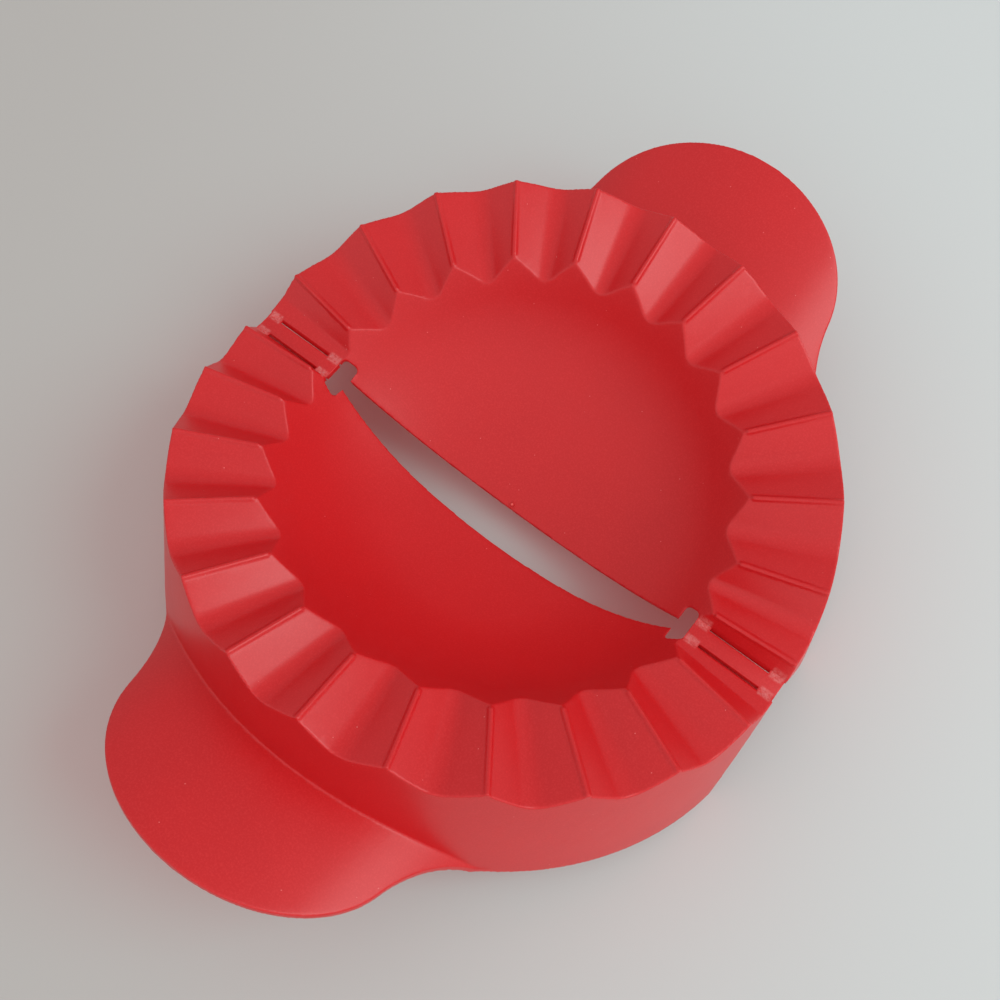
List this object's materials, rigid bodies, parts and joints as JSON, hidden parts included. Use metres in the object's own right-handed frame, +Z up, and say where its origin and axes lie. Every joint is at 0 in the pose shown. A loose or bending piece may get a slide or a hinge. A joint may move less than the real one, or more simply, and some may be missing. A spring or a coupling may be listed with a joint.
{
  "type": "empanada press",
  "caption": "Hinged press for filled pastry: dished half jaws with fluted crimping rims, skirts and round handle tabs fold together on living hinges.",
  "frame": {"origin": "on the table, under the middle of the press, halfway between the two bending lines", "axes": "+X along the hinge line, +Y out over the rear handle tab, +Z up; the press lies open as a shallow V"},
  "size_m": [0.1552, 0.2132, 0.0562],
  "materials": {
    "press_red": "fine-grained matt moulded polypropylene, red, slightly translucent where thin",
    "hinge_web_red": "the same red polypropylene, paler because the web is half a millimetre thick"
  },
  "bodies": {
    "front_jaw": {"front_bowl": "press_red", "front_crimp_rim": "press_red", "front_skirt": "press_red", "front_handle_tab": "press_red"},
    "hinge_links": {"left_link_bar": "press_red", "right_link_bar": "press_red", "left_rear_inner_web": "hinge_web_red", "left_rear_outer_web": "hinge_web_red", "left_front_inner_web": "hinge_web_red", "left_front_outer_web": "hinge_web_red", "right_rear_inner_web": "hinge_web_red", "right_rear_outer_web": "hinge_web_red", "right_front_inner_web": "hinge_web_red", "right_front_outer_web": "hinge_web_red"},
    "rear_jaw": {"rear_bowl": "press_red", "rear_crimp_rim": "press_red", "rear_skirt": "press_red", "rear_handle_tab": "press_red"}
  },
  "joints": [
    {"name": "front_fold", "type": "hinge", "parent": "front_jaw", "child": "hinge_links", "pos_m": [0, -0.0024, 0.03024], "axis": [1, 0, 0], "range_deg": [-12, 72], "deforming": ["left_front_inner_web", "left_front_outer_web", "right_front_inner_web", "right_front_outer_web"]},
    {"name": "rear_fold", "type": "hinge", "parent": "hinge_links", "child": "rear_jaw", "pos_m": [0, 0.0024, 0.03024], "axis": [1, 0, 0], "range_deg": [-12, 72], "deforming": ["left_rear_inner_web", "left_rear_outer_web", "right_rear_inner_web", "right_rear_outer_web"]}
  ],
  "couplings": [
    {"joint": "rear_fold", "follows": "front_fold", "ratio": 1}
  ]
}
